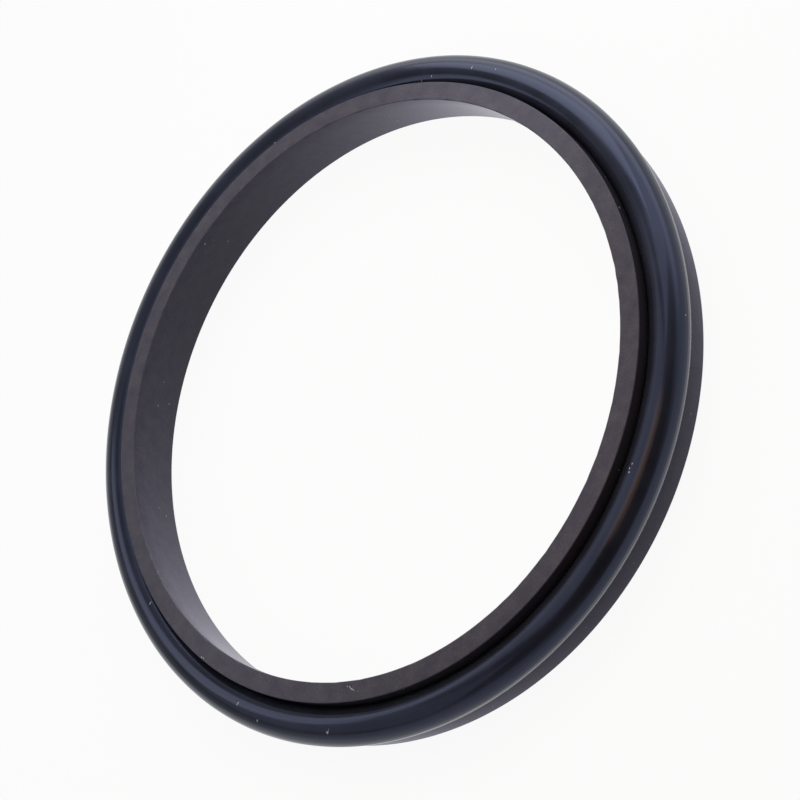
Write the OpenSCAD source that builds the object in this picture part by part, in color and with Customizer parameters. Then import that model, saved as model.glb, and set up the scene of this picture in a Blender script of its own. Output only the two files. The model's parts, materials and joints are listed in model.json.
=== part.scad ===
// Rod wiper seal: a turned wiper ring, pressed onto the rod by an O-ring that sits round it.
// The seal lies on its back face with its axis along Z and its front lip up.
// The origin is the centre of the back face. All sizes are in millimetres.

/* [Bore] */
// Diameter of the rod, and of the land that wipes it
rod_d = 40; // [24:0.5:64]
// Length of the straight wiping land
land_w = 1; // [0.4:0.1:2]
// Chamfer on the wiping edge at the front
wiping_chamfer = 0.04; // [0.02:0.01:0.2]
// Growth of the bore's radius from the land to the back face
bore_relief = 0.55; // [0.1:0.05:0.8]

/* [Front lip] */
// Wall from the wiping land to the outside of the lip
lip_wall = 1.33; // [1.1:0.01:2]
// Reach of the front face beyond the O-ring
lip_reach = 0.58; // [0.4:0.01:1.5]
// Slope of the front face in degrees, down from the wiping edge
face_slope = 7.5; // [1:0.5:12]
// Chamfer on the outer edge of the front face
lip_chamfer = 0.05; // [0.02:0.01:0.2]

/* [Flange] */
// Height of the flange above the wiping land
flange_h = 3.2; // [2.6:0.1:4]
// Thickness of the flange under the cord
seat_w = 1.5; // [1:0.05:3]
// Rise of the flange's rim above the seat, along the saddle
rim_rise = 0.15; // [0.05:0.01:0.3]
// Round on the outer edges of the flange
flange_round = 0.04; // [0.02:0.01:0.2]
// Chamfer on the bore's back edge
back_chamfer = 0.05; // [0.02:0.01:0.2]

/* [O-ring] */
// Diameter of the cord
cord_d = 2.7; // [2:0.05:3.6]
// Depth of the saddle that the cord sits in, below the outside of the lip
saddle_depth = 0.22; // [0.05:0.01:0.4]
// Clearance between the cord and its saddle
saddle_gap = 0.02; // [0.01:0.01:0.1]

/* [Hidden] */
cord_r = cord_d / 2;
saddle_r = cord_r + saddle_gap;

// Radii of the wiper ring
land_r = rod_d / 2;
back_bore_r = land_r + bore_relief;
lip_r = land_r + lip_wall;
flange_r = land_r + flange_h;

// Place of the cord's centre line
cord_ring_r = lip_r - saddle_depth + saddle_r;
cord_z = seat_w + saddle_r;

// Heights above the back face
flange_w = seat_w + rim_rise;
front_z = cord_z + cord_r + lip_reach;
land_top_z = front_z - wiping_chamfer;
land_foot_z = land_top_z - land_w;
face_r = land_r + wiping_chamfer;
lip_edge_z = front_z - tan(face_slope) * (lip_r - lip_chamfer - face_r);

// Sides of the revolved surfaces and of the arcs in their sections
ring_sides = 240;
arc_sides = 96;

// What a round takes off an outer edge: edge is the corner's place, and inward is 1 where
// the material lies above the corner and -1 where it lies below
module edge_waste(edge, inward, radius) {
    difference() {
        translate(edge)
            square(2 * radius, center = true);
        translate(edge + radius * [-1, inward])
            circle(r = radius, $fn = arc_sides);
    }
}

// Half section of the wiper ring, with the radius along X and the height along Y
module wiper_section() {
    difference() {
        polygon([
            [back_bore_r + back_chamfer, 0],
            [flange_r, 0],
            [flange_r, flange_w],
            [cord_ring_r, flange_w],
            [cord_ring_r, cord_z],
            [lip_r, cord_z],
            [lip_r, lip_edge_z - lip_chamfer],
            [lip_r - lip_chamfer, lip_edge_z],
            [face_r, front_z],
            [land_r, land_top_z],
            [land_r, land_foot_z],
            [back_bore_r, back_chamfer]
        ]);
        translate([cord_ring_r, cord_z])
            circle(r = saddle_r, $fn = arc_sides);
        edge_waste([flange_r, flange_w], -1, flange_round);
        edge_waste([flange_r, 0], 1, flange_round);
    }
}

// Turned ring with the wiping lip at the front, the cord's saddle and the flange at the back
module wiper_ring() {
    color("#4a474c")
        rotate_extrude($fn = ring_sides)
            wiper_section();
}

// Moulded ring of round cord in the saddle, which presses the lip onto the rod
module o_ring() {
    color("#23252f")
        rotate_extrude($fn = ring_sides)
            translate([cord_ring_r, cord_z])
                circle(r = cord_r, $fn = arc_sides);
}

wiper_ring();
o_ring();
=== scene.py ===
# %% [markdown]
# # A rod wiper seal
# The seal has two pieces. A turned ring of carbon-filled PTFE scrapes dirt off a piston rod with its front
# lip, and an O-ring of nitrile rubber sits round it and presses that lip onto the rod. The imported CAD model
# is the fixed frame: it says how large each piece is and where it lies, and this script gives each piece a
# clean mesh and the finish of its real material.

# %% Load the frame
import json
import math

import bpy
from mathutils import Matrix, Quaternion, Vector, noise


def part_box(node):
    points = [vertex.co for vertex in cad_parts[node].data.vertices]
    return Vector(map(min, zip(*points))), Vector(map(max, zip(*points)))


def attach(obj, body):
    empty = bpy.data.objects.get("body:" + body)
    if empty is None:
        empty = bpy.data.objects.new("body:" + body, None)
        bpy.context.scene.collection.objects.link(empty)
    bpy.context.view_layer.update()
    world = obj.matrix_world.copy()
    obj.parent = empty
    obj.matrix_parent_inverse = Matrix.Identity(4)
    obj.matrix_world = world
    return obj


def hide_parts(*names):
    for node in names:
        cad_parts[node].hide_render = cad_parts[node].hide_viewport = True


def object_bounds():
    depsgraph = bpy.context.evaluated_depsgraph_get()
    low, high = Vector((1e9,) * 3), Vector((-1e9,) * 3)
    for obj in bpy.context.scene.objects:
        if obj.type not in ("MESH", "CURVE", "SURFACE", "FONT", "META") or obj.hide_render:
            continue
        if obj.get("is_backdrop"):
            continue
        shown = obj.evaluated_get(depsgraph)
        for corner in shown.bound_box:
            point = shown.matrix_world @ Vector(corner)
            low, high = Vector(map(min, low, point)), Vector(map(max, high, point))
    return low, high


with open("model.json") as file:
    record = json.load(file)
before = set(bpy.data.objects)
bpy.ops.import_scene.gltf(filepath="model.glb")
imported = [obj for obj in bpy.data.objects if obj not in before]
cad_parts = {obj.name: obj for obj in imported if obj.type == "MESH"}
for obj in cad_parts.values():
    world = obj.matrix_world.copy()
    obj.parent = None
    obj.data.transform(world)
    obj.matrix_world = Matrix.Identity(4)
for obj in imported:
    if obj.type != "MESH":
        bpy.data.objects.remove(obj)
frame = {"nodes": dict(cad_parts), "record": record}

cad_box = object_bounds()
MM = 0.001
cad_size = [round(side / MM, 2) for side in cad_box[1] - cad_box[0]]
print("frame:", sorted(frame["nodes"]), "box", cad_size, "mm")

# %% [markdown]
# ## Sizes of the section
# Both pieces are bodies of revolution, so a half section with radii and heights in millimetres describes each
# of them whole. The outer sizes are read from the frame and the bore from its mount. What the boxes can't
# give, such as a wall or a round, has its own value here.

# %% Read the sizes
ring_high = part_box("wiper_ring")[1] / MM
cord_low, cord_high = (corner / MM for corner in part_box("o_ring"))
rod_bore = next(mount for mount in frame["record"]["mounts"] if mount["name"] == "rod_bore")

flange_r = ring_high.x
front_z = ring_high.z
land_r = rod_bore["dims"]["r_mm"]
land_w = rod_bore["dims"]["length_mm"]
cord_r = (cord_high.z - cord_low.z) / 2
cord_z = (cord_high.z + cord_low.z) / 2
cord_ring_r = min(cord_high.x, -cord_low.x) - cord_r

lip_wall = 1.33
lip_chamfer = 0.05
face_slope = math.radians(7.5)
wiping_chamfer = 0.04
bore_relief = 0.55
back_chamfer = 0.05
flange_round = 0.04
rim_rise = 0.15
saddle_gap = 0.02

lip_r = land_r + lip_wall
face_r = land_r + wiping_chamfer
back_bore_r = land_r + bore_relief
land_top_z = front_z - wiping_chamfer
lip_edge_z = front_z - math.tan(face_slope) * (lip_r - lip_chamfer - face_r)
flange_w = cord_low.z - saddle_gap + rim_rise
saddle_r = cord_r + saddle_gap
print(f"bore {2 * land_r:.2f}, flange {2 * flange_r:.2f}, width {front_z:.2f}, cord {2 * cord_r:.2f} mm")

# %% [markdown]
# ## Turning a section into a mesh
# A lathe could be made with the Screw modifier on a profile. Here the rings of points are written out by a
# loop instead, because that gives even quads, a mesh that is closed all round and full control of which edges
# stay crisp. Round stretches of the outline come from one arc function.


# %% Arc and lathe helpers
def arc(centre, radius, start, end, steps):
    """Points along a circular arc, from the start angle to the end angle in degrees."""
    angles = [math.radians(start + (end - start) * step / steps) for step in range(steps + 1)]
    return [(centre[0] + radius * math.cos(a), centre[1] + radius * math.sin(a)) for a in angles]


def lathe(name, outline, sides=720, crisp=math.radians(28)):
    """Turns a closed outline of (radius, height) points round the Z axis into a mesh object."""
    points = len(outline)
    turns = [math.tau * side / sides for side in range(sides)]
    verts = [(r * math.cos(a) * MM, r * math.sin(a) * MM, z * MM) for a in turns for r, z in outline]
    faces = []
    for side in range(sides):
        here, there = side * points, (side + 1) % sides * points
        for p in range(points):
            q = (p + 1) % points
            faces.append((here + p, there + p, there + q, here + q))
    mesh = bpy.data.meshes.new(name)
    mesh.from_pydata(verts, [], faces)
    mesh.validate()
    mesh.shade_smooth()
    mesh.set_sharp_from_angle(angle=crisp)
    piece = bpy.data.objects.new(name, mesh)
    bpy.context.scene.collection.objects.link(piece)
    print(f"{name}: {points} points in the outline, {2 * len(faces)} triangles")
    return piece


# %% [markdown]
# ## The wiper ring
# On the real seal this ring is turned from a filled PTFE tube. Its front face slopes up to the wiping edge,
# the bore opens behind a short straight land, the outside carries a shallow saddle for the O-ring, and a
# flange at the back fills the groove. The outline runs once round the section, starting at the bore's back
# edge. The saddle is an arc round the cord's centre, from the flange's rim to the outside of the lip.

# %% Wiper ring mesh
round_steps = 6
saddle_steps = 40
rim_angle = 360 + math.degrees(math.asin((flange_w - cord_z) / saddle_r))
lip_angle = 180 - math.degrees(math.acos((cord_ring_r - lip_r) / saddle_r))
wiper_outline = [
    (back_bore_r, back_chamfer),
    (back_bore_r + back_chamfer, 0),
    *arc((flange_r - flange_round, flange_round), flange_round, -90, 0, round_steps),
    *arc((flange_r - flange_round, flange_w - flange_round), flange_round, 0, 90, round_steps),
    *arc((cord_ring_r, cord_z), saddle_r, rim_angle, lip_angle, saddle_steps),
    (lip_r, lip_edge_z - lip_chamfer),
    (lip_r - lip_chamfer, lip_edge_z),
    (face_r, front_z),
    (land_r, land_top_z),
    (land_r, land_top_z - land_w),
]
wiper_ring = lathe("turned_wiper_ring", wiper_outline)
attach(wiper_ring, "root")
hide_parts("wiper_ring")

# %% [markdown]
# ## The wiping edge
# In the photograph the front edge of the bore looks slightly uneven, as a knife leaves it in soft PTFE. A
# bump in the material couldn't change the edge's line, so both sides of its tiny chamfer are moved here by a
# smooth noise round the ring. It only ever takes material off.

# %% Uneven wiping edge
edge_wear = 0.08
nick_mm = 0.9
outer_edge = wiper_outline.index((face_r, front_z))
inner_edge = outer_edge + 1
deepest = 0
for vertex in wiper_ring.data.vertices:
    point = vertex.index % len(wiper_outline)
    if point not in (outer_edge, inner_edge):
        continue
    outward = Vector((vertex.co.x, vertex.co.y, 0)).normalized()
    wear = edge_wear * MM * max(0.0, noise.noise(outward * land_r / nick_mm))
    deepest = max(deepest, wear / MM)
    if point == outer_edge:
        vertex.co += wear * Vector((outward.x, outward.y, -math.tan(face_slope)))
    else:
        vertex.co.z -= wear
print(f"wiping edge: uneven by up to {deepest:.3f} mm, in nicks about {nick_mm} mm long")

# %% [markdown]
# ## The O-ring
# An O-ring is moulded in two halves, so a hair-fine parting line runs round it at its widest and narrowest
# place. A torus primitive has no such line, so the cord's section is written here as a circle that swells by
# a hundredth of a millimetre at both places and stays within the CAD cord.

# %% O-ring mesh
cord_steps = 120
parting_h = 0.012
parting_half_deg = 1.6
cord_outline = []
for step in range(cord_steps):
    turn = 360 * step / cord_steps
    from_parting = min(turn % 180, 180 - turn % 180)
    swell = parting_h * max(0.0, 1 - from_parting / parting_half_deg)
    radius = cord_r - parting_h + swell
    a = math.radians(turn)
    cord_outline.append((cord_ring_r + radius * math.cos(a), cord_z + radius * math.sin(a)))
o_ring = lathe("moulded_o_ring", cord_outline)
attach(o_ring, "root")
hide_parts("o_ring")

# %% [markdown]
# ## Helpers for the finishes
# Colours are written as sRGB hex values, as a paint chip would be read, and one function turns them to the
# linear values that Blender works in. One more adds a node, sets it up and links its inputs. Texture scales
# come from real sizes: a pattern with one feature in every so many millimetres has this many in a metre. The
# ring was turned, and so was the O-ring's mould, so their marks follow the radius and the height.


# %% Colour, node and scale helpers
def linear(code):
    """Linear RGBA of an sRGB hex colour."""
    parts = [int(code[i : i + 2], 16) / 255 for i in (1, 3, 5)]
    return (*[c / 12.92 if c <= 0.04045 else ((c + 0.055) / 1.055) ** 2.4 for c in parts], 1)


def add(tree, kind, inputs=None, **settings):
    """Adds a node, sets its properties, and gives each named or numbered input a value or a link."""
    node = tree.nodes.new(kind)
    for name, value in settings.items():
        setattr(node, name, value)
    for key, value in (inputs or {}).items():
        if isinstance(value, bpy.types.NodeSocket):
            tree.links.new(value, node.inputs[key])
        else:
            node.inputs[key].default_value = value
    return node


def per_metre(size_mm):
    """Texture scale at which one feature of a pattern is about this many millimetres across."""
    return 1 / (size_mm * MM)


def new_material(name):
    """An empty node material, with its tree and its output."""
    material = bpy.data.materials.new(name)
    material.use_nodes = True
    material.node_tree.nodes.clear()
    return material, material.node_tree, add(material.node_tree, "ShaderNodeOutputMaterial")


def radius_and_height(tree, place):
    """Distance of a place from the seal's axis, and its height above the back face."""
    flat = add(tree, "ShaderNodeVectorMath", {0: place, 1: (1, 1, 0)}, operation="MULTIPLY")
    radius = add(tree, "ShaderNodeVectorMath", {0: flat.outputs[0]}, operation="LENGTH")
    height = add(tree, "ShaderNodeSeparateXYZ", {0: place})
    return radius.outputs["Value"], height.outputs["Z"]


# %% [markdown]
# ## Lint
# Dark seals show every thread of cloth that they touch. Threads could be modelled as tiny curves, but they
# are so flat and so few that a pattern in the colour does as well. Points of a cell pattern are drawn out
# along one axis and bent by a noise, and only some of the cells keep theirs. Real lint is a few hundredths of
# a millimetre thick, and it is drawn at about a tenth so that it can show.


# %% Lint helper
def with_lint(tree, place, colour, spread_mm, lie):
    """A colour with sparse pale threads on it, which lie along the axis that is the smallest in lie."""
    thread_half_mm = 0.055
    bend_mm = 6 * thread_half_mm
    clean_share = 0.6
    drawn_out = add(tree, "ShaderNodeVectorMath", {0: place, 1: lie}, operation="MULTIPLY")
    bend = add(tree, "ShaderNodeTexNoise", {"Vector": place, "Scale": per_metre(bend_mm), "Detail": 1})
    bent = add(
        tree,
        "ShaderNodeVectorMath",
        {0: bend.outputs["Color"], 1: (bend_mm * MM,) * 3, 2: drawn_out.outputs[0]},
        operation="MULTIPLY_ADD",
    )
    cells = add(tree, "ShaderNodeTexVoronoi", {"Vector": bent.outputs[0], "Scale": per_metre(spread_mm)})
    thread = add(
        tree,
        "ShaderNodeMath",
        {0: cells.outputs["Distance"], 1: thread_half_mm / spread_mm},
        operation="LESS_THAN",
    )
    kept = add(tree, "ShaderNodeMath", {0: cells.outputs["Color"], 1: clean_share}, operation="GREATER_THAN")
    mask = add(tree, "ShaderNodeMath", {0: thread.outputs[0], 1: kept.outputs[0]}, operation="MULTIPLY")
    inputs = {0: mask.outputs[0], 6: colour, 7: linear("#a8a4a2")}
    return add(tree, "ShaderNodeMix", inputs, data_type="RGBA").outputs[2]


# %% [markdown]
# ## Carbon-filled PTFE, fine turned
# PTFE is waxy and soft with a low refractive index of about 1.35, and carbon powder makes it a matt charcoal.
# Turning leaves rings a few hundredths of a millimetre apart, which follow the radius on the flat faces and
# the height on the round ones, so the sum of the two draws both. The feed is drawn at 0.12 mm so that it can
# show at all. The filler gives a soft mottle and a finer grain. The front looks paler than the bore, so the
# flat faces are taken as faced a little rougher, and their colour is painted paler, partly for that rougher
# finish and partly as painted light from above. The wall beside the O-ring looks darker, and it is painted
# darker as painted shade, for the shade in the crevice between the lip and the cord.
# Glancing reflections in the bore have a touch of violet. Why is a guess, and a film of silicone oil gives it
# here, some tens of nanometres thick with an index of 1.4.


# %% PTFE colour
def ptfe_colour(tree, place, facing, grain):
    """Mottled charcoal: paler on flat faces as finish and painted top light, darker as painted crevice shade.
    """
    mottle_mm = 0.9
    # Flat faces are made paler: partly for their rougher faced finish, partly as painted light from above on
    # them.
    faced_paler_with_top_light = 0.22
    mottle = add(tree, "ShaderNodeTexNoise", {"Vector": place, "Scale": per_metre(mottle_mm), "Detail": 3})
    blend = add(tree, "ShaderNodeMath", {0: mottle.outputs["Fac"], 1: grain}, operation="MULTIPLY")
    inputs = {0: facing, 1: faced_paler_with_top_light, 2: blend.outputs[0]}
    paleness = add(tree, "ShaderNodeMath", inputs, operation="MULTIPLY_ADD")
    tone = add(tree, "ShaderNodeValToRGB", {"Fac": paleness.outputs[0]})
    for stop, (share, code) in zip(tone.color_ramp.elements, ((0.1, "#282637"), (0.75, "#565358"))):
        stop.position = share
        stop.color = linear(code)
    # Painted shade: the lip's outer wall above the cord's centre is darkened towards #2f2d33 for the crevice's
    # shade.
    radius, height = radius_and_height(tree, place)
    inputs = {"Value": radius, "From Min": (lip_r - lip_chamfer) * MM, "From Max": lip_r * MM}
    outside = add(tree, "ShaderNodeMapRange", inputs)
    inputs = {"Value": height, "From Min": flange_w * MM, "From Max": cord_z * MM}
    above = add(tree, "ShaderNodeMapRange", inputs)
    painted_crevice_shade = add(tree, "ShaderNodeMath", {0: outside.outputs[0], 1: above.outputs[0]}, operation="MULTIPLY")
    inputs = {0: painted_crevice_shade.outputs[0], 6: tone.outputs["Color"], 7: linear("#2f2d33")}
    return add(tree, "ShaderNodeMix", inputs, data_type="RGBA").outputs[2]


# %% PTFE material
def carbon_filled_ptfe():
    material, tree, output = new_material("carbon_filled_ptfe")
    feed_mm, grain_mm, groove_mm = 0.12, 0.1, 0.006
    faced_rougher = 0.16
    grain_relief = 0.4
    place = add(tree, "ShaderNodeTexCoord").outputs["Object"]
    radius, height = radius_and_height(tree, place)
    along = add(tree, "ShaderNodeMath", {0: radius, 1: height}, operation="ADD")
    inputs = {"W": along.outputs[0], "Scale": per_metre(feed_mm), "Detail": 1}
    rings = add(tree, "ShaderNodeTexNoise", inputs, noise_dimensions="1D").outputs["Fac"]
    inputs = {"Vector": place, "Scale": per_metre(grain_mm), "Detail": 2}
    grain = add(tree, "ShaderNodeTexNoise", inputs).outputs["Fac"]
    normal = add(tree, "ShaderNodeNewGeometry").outputs["True Normal"]
    upright = add(tree, "ShaderNodeSeparateXYZ", {0: normal}).outputs["Z"]
    facing = add(tree, "ShaderNodeMath", {0: upright}, operation="ABSOLUTE").outputs[0]
    colour = ptfe_colour(tree, place, facing, grain)
    inputs = {"Value": rings, "From Min": 0.3, "From Max": 0.7, "To Min": 0.15, "To Max": 0.22}
    turned = add(tree, "ShaderNodeMapRange", inputs).outputs[0]
    rough = add(tree, "ShaderNodeMath", {0: facing, 1: faced_rougher, 2: turned}, operation="MULTIPLY_ADD")
    relief = add(tree, "ShaderNodeMath", {0: grain, 1: grain_relief, 2: rings}, operation="MULTIPLY_ADD")
    inputs = {"Height": relief.outputs[0], "Strength": 0.25, "Distance": groove_mm * MM}
    bump = add(tree, "ShaderNodeBump", inputs)
    inputs = {
        "Base Color": with_lint(tree, place, colour, 0.9, (1, 0.22, 1)),
        "Roughness": rough.outputs[0],
        "Normal": bump.outputs["Normal"],
        "IOR": 1.34,
        "Specular Tint": linear("#edeaff"),
        "Thin Film Thickness": 25.0,
        "Thin Film IOR": 1.4,
    }
    shader = add(tree, "ShaderNodeBsdfPrincipled", inputs)
    tree.links.new(shader.outputs[0], output.inputs["Surface"])
    return material


wiper_ring.data.materials.append(carbon_filled_ptfe())
print("wiper ring:", wiper_ring.data.materials[0].name)

# %% [markdown]
# ## Nitrile rubber, moulded
# The O-ring comes out of a turned and polished mould, so it is smoother than the ring and shows soft
# highlights, which the mould's fine lines break up along the cord. They depend only on the radius and the
# height, and are drawn at 0.2 mm so that they can show. Black nitrile has a refractive index of about 1.52. A
# thin bloom of wax, which rubber often has, is taken as the cause of its cool cast and gives it a gloss that
# is uneven over a few millimetres.


# %% Rubber material
def nitrile_rubber():
    material, tree, output = new_material("nitrile_rubber")
    bloom_mm, skin_mm, line_mm, groove_mm = 3.5, 0.25, 0.2, 0.006
    skin_relief = 0.3
    place = add(tree, "ShaderNodeTexCoord").outputs["Object"]
    inputs = {"Vector": place, "Scale": per_metre(bloom_mm), "Detail": 3}
    bloom = add(tree, "ShaderNodeTexNoise", inputs).outputs["Fac"]
    inputs = {"Vector": place, "Scale": per_metre(skin_mm), "Detail": 2}
    skin = add(tree, "ShaderNodeTexNoise", inputs).outputs["Fac"]
    radius, height = radius_and_height(tree, place)
    section = add(tree, "ShaderNodeCombineXYZ", {0: radius, 1: height})
    inputs = {"Vector": section.outputs[0], "Scale": per_metre(line_mm), "Detail": 2}
    lines = add(tree, "ShaderNodeTexNoise", inputs, noise_dimensions="2D").outputs["Fac"]
    tone = add(tree, "ShaderNodeValToRGB", {"Fac": bloom})
    for stop, (share, code) in zip(tone.color_ramp.elements, ((0.35, "#1d1e26"), (0.7, "#252731"))):
        stop.position = share
        stop.color = linear(code)
    inputs = {"Value": bloom, "From Min": 0.3, "From Max": 0.7, "To Min": 0.16, "To Max": 0.24}
    rough = add(tree, "ShaderNodeMapRange", inputs)
    relief = add(tree, "ShaderNodeMath", {0: skin, 1: skin_relief, 2: lines}, operation="MULTIPLY_ADD")
    inputs = {"Height": relief.outputs[0], "Strength": 0.5, "Distance": groove_mm * MM}
    bump = add(tree, "ShaderNodeBump", inputs)
    inputs = {
        "Base Color": with_lint(tree, place, tone.outputs["Color"], 1.0, (0.22, 1, 1)),
        "Roughness": rough.outputs[0],
        "Normal": bump.outputs["Normal"],
        "IOR": 1.52,
        "Specular Tint": linear("#bccaff"),
    }
    shader = add(tree, "ShaderNodeBsdfPrincipled", inputs)
    tree.links.new(shader.outputs[0], output.inputs["Surface"])
    return material


o_ring.data.materials.append(nitrile_rubber())
print("O-ring:", o_ring.data.materials[0].name)

# %% [markdown]
# ## Floor
# The seal lies on its back face on a plain white floor. Camera and mirror rays see the floor mostly as even
# white, and the rest of what they see is its lit surface, so the seal's own soft shadow stays on it. What the
# floor throws back onto the seal is a mid grey, as under a sheet of paper that other things shade. It lies a
# hundredth of a millimetre below the back face, so that the two don't share a plane.

# %% Floor
floor_reach = 1.2
floor_drop = 0.01 * MM
even_share = 0.93
bpy.ops.mesh.primitive_circle_add(
    vertices=96, radius=floor_reach, fill_type="NGON", location=(0, 0, -floor_drop)
)
floor = bpy.context.object
floor.name = "studio_floor"
floor_paint, floor_tree, floor_output = new_material("white_floor")
rays = add(floor_tree, "ShaderNodeLightPath").outputs
seen = rays["Is Camera Ray"]
for kind in ("Is Glossy Ray", "Is Transmission Ray"):
    seen = add(floor_tree, "ShaderNodeMath", {0: seen, 1: rays[kind]}, operation="MAXIMUM").outputs[0]
bounce = add(floor_tree, "ShaderNodeBsdfDiffuse", {"Color": linear("#6c6c6c")})
lit = add(floor_tree, "ShaderNodeBsdfDiffuse", {"Color": linear("#e6e6e6")})
white = add(floor_tree, "ShaderNodeEmission", {"Color": linear("#ffffff"), "Strength": 1})
shown = add(floor_tree, "ShaderNodeMixShader", {0: even_share, 1: lit.outputs[0], 2: white.outputs[0]})
floor_mix = add(floor_tree, "ShaderNodeMixShader", {0: seen, 1: bounce.outputs[0], 2: shown.outputs[0]})
floor_tree.links.new(floor_mix.outputs[0], floor_output.inputs["Surface"])
floor.data.materials.append(floor_paint)
floor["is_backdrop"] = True
print("floor:", floor_reach, "m in radius")

# %% [markdown]
# ## Camera
# The camera looks down on the seal from the angle of the photograph, which was found by fitting the seal's
# circles to it. It is rolled, because the photograph shows the seal's axis leaning to the left.

# %% Camera
camera_place = Vector((0, -135.78, 157.75)) * MM
camera_aim = Vector((0.11, -3.46, 4.8)) * MM
camera_roll = math.radians(-64.85)
image_width = 800
focal_pixels = 3100

camera_data = bpy.data.cameras.new("camera")
camera_data.sensor_width = 36
camera_data.lens = camera_data.sensor_width * focal_pixels / image_width
camera_data.clip_start = 0.01
camera = bpy.data.objects.new("camera", camera_data)
camera.location = camera_place
level_view = (camera_aim - camera_place).to_track_quat("-Z", "Y")
camera.rotation_mode = "QUATERNION"
camera.rotation_quaternion = level_view @ Quaternion((0, 0, 1), camera_roll)
bpy.context.scene.collection.objects.link(camera)
bpy.context.scene.camera = camera
print(f"camera: {camera_data.lens:.1f} mm lens, {(camera_aim - camera_place).length / MM:.1f} mm away")

# %% [markdown]
# ## Tent
# The studio is a tent of white cloth with one bright side, which is at the right of the seal, with its dark
# mouth towards the camera and with a dimmer roof. It could be a dome of cloth, but as nothing stands near its
# walls, the world does as well: each direction gets the light of the wall there.


# %% White tent
def bearing(azimuth, elevation):
    """Unit vector at an azimuth from the camera's side, turning towards +X, and an elevation, in degrees."""
    a, e = math.radians(azimuth), math.radians(elevation)
    return Vector((math.sin(a) * math.cos(e), -math.cos(a) * math.cos(e), math.sin(e)))


bright_side = bearing(105, 5)
wall_levels = {0: 0.9, 1: 2.6, 0.2: 0.45, 0.35: 0.35, 0.5: 0.6, 0.65: 0.85, 0.8: 0.95, 0.9: 2.0}
mouth = bearing(0, 38)
mouth_rim = math.radians(55)
mouth_core = math.radians(15)
mouth_level = 0.1
roof_level = 0.4

world = bpy.data.worlds.new("white_tent")
bpy.context.scene.world = world
world.use_nodes = True
tent_tree = world.node_tree
tent_tree.nodes.clear()
direction = add(tent_tree, "ShaderNodeTexCoord").outputs["Generated"]
sideways = add(tent_tree, "ShaderNodeVectorMath", {0: direction, 1: bright_side}, operation="DOT_PRODUCT")
side_range = {"Value": sideways.outputs["Value"], "From Min": -1, "From Max": 1}
side_share = add(tent_tree, "ShaderNodeMapRange", side_range)
wall = add(tent_tree, "ShaderNodeValToRGB", {"Fac": side_share.outputs[0]})
stops = wall.color_ramp.elements
for share, level in wall_levels.items():
    stop = stops[share] if share in (0, 1) else stops.new(share)
    stop.color = (level, level, level, 1)

# %% Mouth and roof of the tent
mouthward = add(tent_tree, "ShaderNodeVectorMath", {0: direction, 1: mouth}, operation="DOT_PRODUCT")
mouth_range = {
    "Value": mouthward.outputs["Value"],
    "From Min": math.cos(mouth_rim),
    "From Max": math.cos(mouth_core),
    "To Min": 1,
    "To Max": mouth_level,
}
openness = add(tent_tree, "ShaderNodeMapRange", mouth_range, interpolation_type="SMOOTHSTEP")
rise = add(tent_tree, "ShaderNodeSeparateXYZ", {0: direction}).outputs["Z"]
roof_range = {"Value": rise, "From Min": 0.3, "From Max": 0.5, "To Min": 1, "To Max": roof_level}
roof = add(tent_tree, "ShaderNodeMapRange", roof_range)
dimming = add(tent_tree, "ShaderNodeMath", {0: openness.outputs[0], 1: roof.outputs[0]}, operation="MULTIPLY")
cloth = add(tent_tree, "ShaderNodeBackground", {"Color": wall.outputs[0], "Strength": dimming.outputs[0]})
tent_tree.links.new(cloth.outputs[0], add(tent_tree, "ShaderNodeOutputWorld").inputs["Surface"])
print("tent: bright side towards", tuple(round(part, 2) for part in bright_side))

# %% [markdown]
# ## Lamp panels
# A glossy cord mirrors its whole surroundings in one narrow strip, so each light band on it needs a panel of
# its own. Six soft panels stand close round the seal for that: a bright one at the right, weaker ones at the
# front right, the left, the back and overhead, and a small warm one that lends the cord a faint tan streak.


# %% Lamp panels
def area_lamp(name, place, width, depth, radiance, hue="#ffffff"):
    """Adds a rectangular lamp that points at the seal and is as bright as the given radiance."""
    data = bpy.data.lights.new(name, "AREA")
    data.shape = "RECTANGLE"
    data.size = width * MM
    data.size_y = depth * MM
    data.energy = radiance * math.pi * data.size * data.size_y
    data.color = linear(hue)[:3]
    lamp = bpy.data.objects.new(name, data)
    lamp.location = place * MM
    lamp.rotation_euler = (-place).to_track_quat("-Z", "Y").to_euler()
    lamp.visible_camera = False
    bpy.context.scene.collection.objects.link(lamp)
    print(f"{name}: {width} x {depth} mm, radiance {radiance}")


area_lamp("right_panel", Vector((50, 28, 42)), width=56, depth=34, radiance=2.4)
area_lamp("left_panel", Vector((-48, 8, 45)), width=74, depth=36, radiance=0.4)
area_lamp("roof_panel", Vector((0, -4, 42)), width=40, depth=56, radiance=0.66)
area_lamp("back_panel", Vector((-25, 44, 50)), width=34, depth=28, radiance=1.5)
area_lamp("front_panel", Vector((46, -12, 42)), width=28, depth=44, radiance=1.0)
area_lamp("warm_panel", Vector((6, -30, 42)), width=24, depth=24, radiance=1.3, hue="#ffb048")

# %% [markdown]
# ## Finish
# The colours are shown as they are, with no film look on top. The box of the finished seal is written next to
# the CAD box, to see that the looks haven't changed its size.

# %% Finish
bpy.context.scene.view_settings.view_transform = "Standard"
bpy.context.view_layer.update()
boxes = {"cad": cad_box, "visual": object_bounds()}
visual_size = [round(side / MM, 2) for side in boxes["visual"][1] - boxes["visual"][0]]
print("visual box:", visual_size, "mm, CAD box:", cad_size, "mm")
